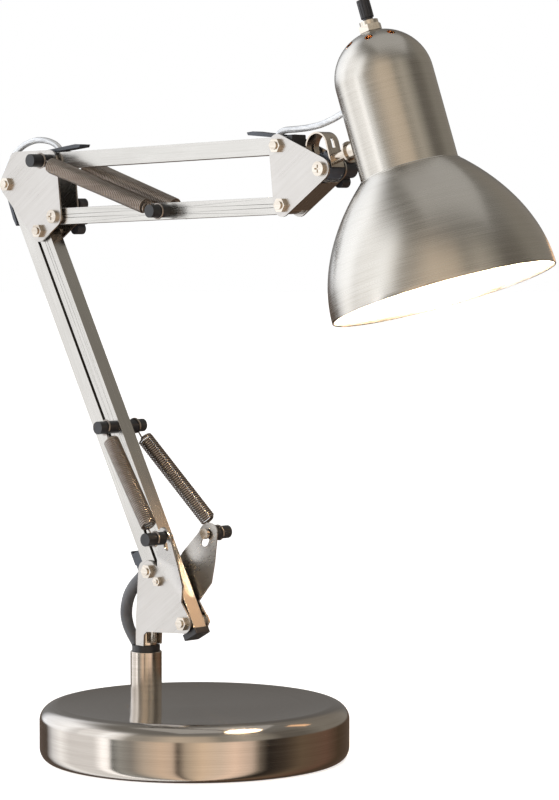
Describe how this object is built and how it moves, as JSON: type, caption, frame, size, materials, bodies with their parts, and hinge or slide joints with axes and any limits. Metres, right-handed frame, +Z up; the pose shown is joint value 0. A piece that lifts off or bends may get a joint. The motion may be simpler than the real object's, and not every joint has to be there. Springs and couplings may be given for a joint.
{
  "type": "swing arm desk lamp",
  "caption": "Balanced-arm desk lamp: round weighted base, post, two parallel-bar arms with pull springs, tilting bell shade in brushed nickel.",
  "frame": {"origin": "centre of the base's underside, on the desk", "axes": "+Z up; the arms lie in the XZ plane with the head towards +X; the viewer of the picture is on the -Y side"},
  "size_m": [0.4441, 0.2325, 0.4689],
  "materials": {
    "spun_steel": "spun and brushed nickel, satin",
    "iron": "rough, hidden inside the base",
    "foot_pad": "matte",
    "black_plastic": "moulded, slight sheen",
    "clear_flex": "clear round flex with silvery strands",
    "grey_sleeve": "soft, satin",
    "satin_nickel": "satin nickel plate",
    "fastener_steel": "bright warm nickel",
    "spring_steel": "dark oiled spring wire",
    "ceramic": "white moulded lamp holder",
    "lit_glass": "frosted, lit from inside"
  },
  "bodies": {
    "base": {"base_shell": "spun_steel", "base_weight": "iron", "base_pad": "foot_pad", "post_tube": "spun_steel", "post_nut": "iron", "post_bush": "black_plastic", "cord_gland": "black_plastic", "mains_lead": "clear_flex", "mains_coil": "clear_flex", "coil_tie": "black_plastic", "plug_body": "black_plastic", "plug_blades": "fastener_steel"},
    "bracket": {"bracket_plates": "satin_nickel", "bracket_stem": "satin_nickel", "bracket_bolts": "fastener_steel", "bracket_washers": "satin_nickel", "ear_studs": "fastener_steel", "ear_sleeves": "black_plastic", "cord_cover_low": "grey_sleeve", "cord_cover_up": "grey_sleeve", "lower_springs": "spring_steel"},
    "lower_outer": {"lower_outer_bar": "satin_nickel", "lower_cord_clips": "black_plastic"},
    "lower_inner": {"lower_inner_bar": "satin_nickel", "lower_bar_cap": "black_plastic", "lower_post": "fastener_steel", "lower_post_sleeves": "black_plastic"},
    "elbow": {"elbow_plates": "satin_nickel", "elbow_bolts": "fastener_steel", "elbow_washers": "satin_nickel", "elbow_screw": "fastener_steel", "elbow_post": "fastener_steel", "elbow_post_sleeves": "black_plastic", "cord_elbow_low": "clear_flex", "cord_elbow_top": "clear_flex", "upper_springs": "spring_steel"},
    "elbow_wing": {"elbow_knob": "black_plastic"},
    "upper_top": {"upper_top_bar": "satin_nickel", "upper_top_cap": "black_plastic", "upper_cord_clip": "black_plastic", "cord_head_start": "clear_flex"},
    "upper_bottom": {"upper_bottom_bar": "satin_nickel", "upper_post": "fastener_steel", "upper_post_sleeves": "black_plastic"},
    "head": {"head_plates": "satin_nickel", "head_bolts": "fastener_steel", "head_washers": "satin_nickel", "head_screw": "fastener_steel", "cord_head_mid": "clear_flex"},
    "head_wing": {"head_knob": "black_plastic"},
    "tilt": {"knuckle": "black_plastic", "head_strap": "fastener_steel", "swivel_pin": "fastener_steel"},
    "shade": {"shade_shell": "spun_steel", "shade_boss": "spun_steel", "switch_collar": "fastener_steel", "lamp_socket": "ceramic", "bulb": "lit_glass", "cord_head_end": "clear_flex"},
    "switch": {"switch_knob": "black_plastic"}
  },
  "joints": [
    {"name": "post_turn", "type": "hinge", "parent": "base", "child": "bracket", "pos_m": [-0.044, 0, 0.06], "axis": [0, 0, 1], "range_deg": [-160, 160], "deforming": ["cord_cover_low"]},
    {"name": "lower_arm", "type": "hinge", "parent": "bracket", "child": "lower_outer", "pos_m": [-0.033, 0, 0.116], "axis": [0, 1, 0], "range_deg": [-1, 60], "deforming": ["cord_cover_up"]},
    {"name": "lower_arm_inner", "type": "hinge", "parent": "bracket", "child": "lower_inner", "pos_m": [-0.002, 0, 0.0855], "axis": [0, 1, 0], "range_deg": [-1, 60], "deforming": ["lower_springs"]},
    {"name": "elbow_level", "type": "hinge", "parent": "lower_outer", "child": "elbow", "pos_m": [-0.16613, 0, 0.36119], "axis": [0, 1, 0], "range_deg": [-60, 1], "deforming": ["cord_elbow_low"]},
    {"name": "elbow_knob_turn", "type": "hinge", "parent": "elbow", "child": "elbow_wing", "pos_m": [-0.12113, 0, 0.34019], "axis": [0, 1, 0], "continuous": true},
    {"name": "upper_arm", "type": "hinge", "parent": "elbow", "child": "upper_top", "pos_m": [-0.12513, 0, 0.37619], "axis": [0, 1, 0], "range_deg": [-40, 40], "deforming": ["cord_elbow_top"]},
    {"name": "upper_arm_lower", "type": "hinge", "parent": "elbow", "child": "upper_bottom", "pos_m": [-0.12113, 0, 0.34019], "axis": [0, 1, 0], "range_deg": [-40, 40], "deforming": ["upper_springs"]},
    {"name": "head_level", "type": "hinge", "parent": "upper_top", "child": "head", "pos_m": [0.07975, 0, 0.38334], "axis": [0, 1, 0], "range_deg": [-40, 40], "deforming": ["cord_head_start"]},
    {"name": "head_knob_turn", "type": "hinge", "parent": "head", "child": "head_wing", "pos_m": [0.11525, 0, 0.36904], "axis": [0, 1, 0], "continuous": true},
    {"name": "head_tilt", "type": "hinge", "parent": "head", "child": "tilt", "pos_m": [0.11525, 0, 0.36904], "axis": [0, 1, 0], "range_deg": [-25, 35], "deforming": ["cord_head_mid"]},
    {"name": "shade_swivel", "type": "hinge", "parent": "tilt", "child": "shade", "pos_m": [0.11393, 0, 0.37335], "axis": [0.9563, 0, 0.2924], "range_deg": [-60, 60], "deforming": ["cord_head_end"]},
    {"name": "switch_turn", "type": "hinge", "parent": "shade", "child": "switch", "pos_m": [0.17093, 0, 0.39077], "axis": [-0.2916, -0.0732, 0.9537], "range_deg": [0, 90]}
  ],
  "couplings": [
    {"joint": "lower_arm_inner", "follows": "lower_arm", "ratio": 1},
    {"joint": "elbow_level", "follows": "lower_arm", "ratio": -1},
    {"joint": "upper_arm_lower", "follows": "upper_arm", "ratio": 1},
    {"joint": "head_level", "follows": "upper_arm", "ratio": -1}
  ]
}
